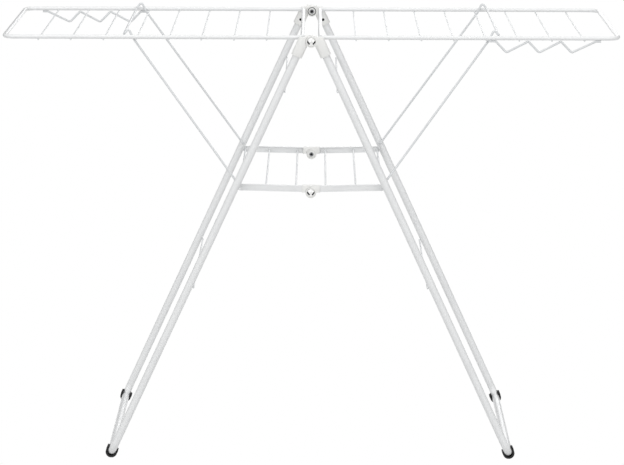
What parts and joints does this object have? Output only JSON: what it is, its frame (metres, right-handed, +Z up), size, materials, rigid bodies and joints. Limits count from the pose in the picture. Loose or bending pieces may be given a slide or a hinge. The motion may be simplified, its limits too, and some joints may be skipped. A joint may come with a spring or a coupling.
{
  "type": "folding clothes drying rack",
  "caption": "Free-standing folding clothes airer: two hinged U leg frames, a folding middle shelf, and two rung wings held level by wire struts.",
  "frame": {"origin": "on the floor under the top hinge axis, half way along the depth", "axes": "+X along the wings towards side a, +Y away from the viewer along the depth, +Z up"},
  "size_m": [1.509, 0.5766, 1.0854],
  "materials": {
    "white_paint": "gloss white powder coat on steel tube",
    "white_wire": "gloss white powder coat on steel wire",
    "bar_paint": "satin white powder coat on flat steel bar",
    "white_plastic": "satin moulded plastic",
    "screw_steel": "dark zinc plated",
    "rivet_steel": "plain steel",
    "cap_chrome": "polished cap",
    "black_rubber": "matt black"
  },
  "bodies": {
    "leg_frame_a": {"leg_tube_a": "white_paint", "leg_rung_upper_a": "white_paint", "leg_rung_lower_a": "white_paint", "sleeve_outer_a": "white_plastic", "sleeve_inner_a": "white_plastic", "sleeve_screws_a": "screw_steel", "foot_caps_a": "black_rubber", "hub_rivet_a": "rivet_steel", "hub_cap_a": "cap_chrome", "shelf_rod_a": "white_wire"},
    "leg_frame_b": {"leg_tube_b": "white_paint", "leg_rung_upper_b": "white_paint", "leg_rung_lower_b": "white_paint", "sleeve_outer_b": "white_plastic", "sleeve_inner_b": "white_plastic", "sleeve_screws_b": "screw_steel", "foot_caps_b": "black_rubber", "hub_rivet_b": "rivet_steel", "hub_cap_b": "cap_chrome", "shelf_stubs_b": "white_wire"},
    "shelf_a": {"shelf_bars_a": "bar_paint", "shelf_rungs_a": "white_wire", "shelf_knuckles_a": "white_plastic", "shelf_rivet_a": "rivet_steel", "shelf_cap_a": "cap_chrome"},
    "shelf_b": {"shelf_bars_b": "bar_paint", "shelf_rungs_b": "white_wire", "shelf_knuckles_b": "white_plastic", "shelf_rivet_b": "rivet_steel", "shelf_cap_b": "cap_chrome", "shelf_rod_b": "white_wire"},
    "wing_a": {"wing_frame_a": "white_paint", "wing_rungs_a": "white_wire", "hanger_zigzag_a": "white_wire", "wing_pins_a": "rivet_steel"},
    "wing_b": {"wing_frame_b": "white_paint", "wing_rungs_b": "white_wire", "hanger_zigzag_b": "white_wire", "wing_pins_b": "rivet_steel"},
    "strut_a": {"strut_a": "white_wire"},
    "strut_b": {"strut_b": "white_wire"}
  },
  "joints": [
    {"name": "main_fold", "type": "hinge", "parent": "leg_frame_a", "child": "leg_frame_b", "pos_m": [0, 0, 1.061], "axis": [0, -1, 0], "range_deg": [0, 44]},
    {"name": "shelf_a_fold", "type": "hinge", "parent": "leg_frame_a", "child": "shelf_a", "pos_m": [0.1745, 0, 0.695], "axis": [0, 1, 0], "range_deg": [0, 64.3]},
    {"name": "shelf_b_fold", "type": "hinge", "parent": "shelf_a", "child": "shelf_b", "pos_m": [0, 0, 0.682], "axis": [0, -1, 0], "range_deg": [0, 172.6]},
    {"name": "wing_a_lift", "type": "hinge", "parent": "leg_frame_a", "child": "wing_a", "pos_m": [0.0215, 0, 1.0675], "axis": [0, -1, 0], "range_deg": [0, 60]},
    {"name": "wing_b_lift", "type": "hinge", "parent": "leg_frame_b", "child": "wing_b", "pos_m": [-0.0215, 0, 1.0675], "axis": [0, 1, 0], "range_deg": [0, 60]},
    {"name": "strut_a_swing", "type": "hinge", "parent": "leg_frame_a", "child": "strut_a", "pos_m": [0.18173, 0, 0.708], "axis": [0, 1, 0], "range_deg": [0, 118]},
    {"name": "strut_b_swing", "type": "hinge", "parent": "leg_frame_b", "child": "strut_b", "pos_m": [-0.18173, 0, 0.708], "axis": [0, -1, 0], "range_deg": [0, 118]}
  ],
  "couplings": [
    {"joint": "shelf_a_fold", "follows": "main_fold", "ratio": 1.458},
    {"joint": "shelf_b_fold", "follows": "main_fold", "ratio": 3.916}
  ]
}
